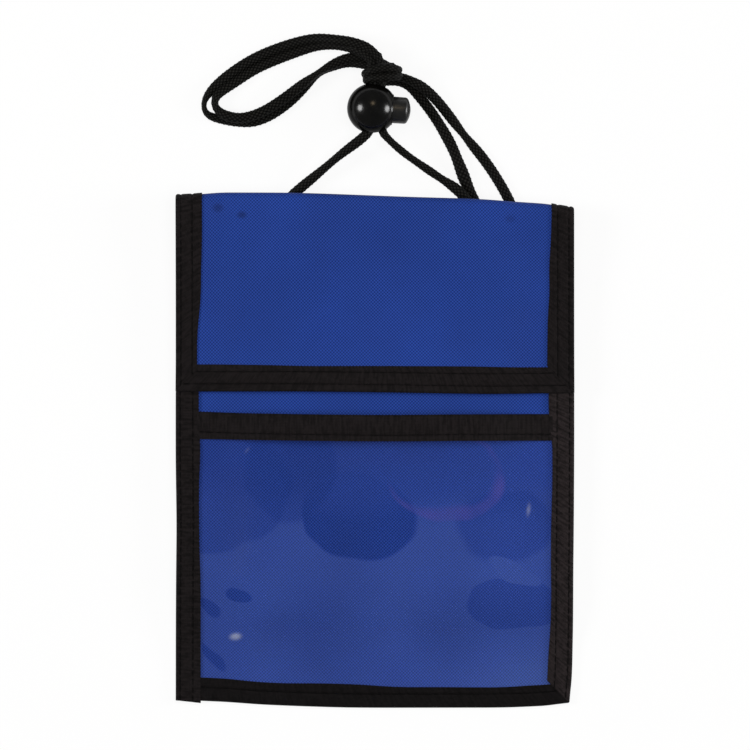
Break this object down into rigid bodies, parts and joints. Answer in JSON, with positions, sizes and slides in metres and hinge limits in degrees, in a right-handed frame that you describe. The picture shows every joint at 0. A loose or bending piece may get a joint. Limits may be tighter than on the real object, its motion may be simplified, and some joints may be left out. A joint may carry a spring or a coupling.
{
  "type": "id badge wallet",
  "caption": "Flat cloth neck wallet with bound edges, a clear badge pocket, a folded flap over a main pocket, and a neck cord drawn through a ball cord lock.",
  "frame": {"origin": "on the table under the middle of the wallet, which lies on its back", "axes": "+X to the right across the front, +Y up the wallet towards the flap's fold, +Z out of the front"},
  "size_m": [0.14, 0.2371, 0.0162],
  "materials": {
    "blue_cloth": "woven, matt",
    "black_tape": "ribbed tape, matt",
    "clear_vinyl": "clear, glossy",
    "closure": "hook and loop pile",
    "cord": "braided, slight sheen",
    "lock_plastic": "glossy",
    "spring_steel": "plain wire",
    "eyelet_metal": "black enamel"
  },
  "bodies": {
    "wallet": {"back_panel": "blue_cloth", "front_panel": "blue_cloth", "window_sheet": "clear_vinyl", "window_top_binding": "black_tape", "left_binding": "black_tape", "right_binding": "black_tape", "bottom_binding": "black_tape", "loop_strip": "closure", "left_eyelet": "eyelet_metal", "left_eyelet_washer": "eyelet_metal", "right_eyelet": "eyelet_metal", "right_eyelet_washer": "eyelet_metal", "left_stopper_knot": "cord", "right_stopper_knot": "cord", "cord_lock_ball": "lock_plastic", "cord_lock_spring": "spring_steel", "neck_cord_left_leg": "cord", "neck_cord_right_leg": "cord", "neck_cord_left_loop": "cord", "neck_cord_right_loop": "cord", "neck_cord_left_tail": "cord", "neck_cord_right_tail": "cord"},
    "flap": {"flap_panel": "blue_cloth", "flap_binding": "black_tape", "hook_strip": "closure"},
    "button": {"cord_lock_button": "lock_plastic"}
  },
  "joints": [
    {"name": "flap_fold", "type": "hinge", "parent": "wallet", "child": "flap", "pos_m": [0, 0.087, 0.0083], "axis": [-1, 0, 0], "range_deg": [0, 150]},
    {"name": "button_press", "type": "slide", "parent": "wallet", "child": "button", "axis": [-0.9975, 0.07, 0], "range_m": [0, 0.0022], "stiffness_N_per_m": 300, "deforming": ["cord_lock_spring"]}
  ]
}
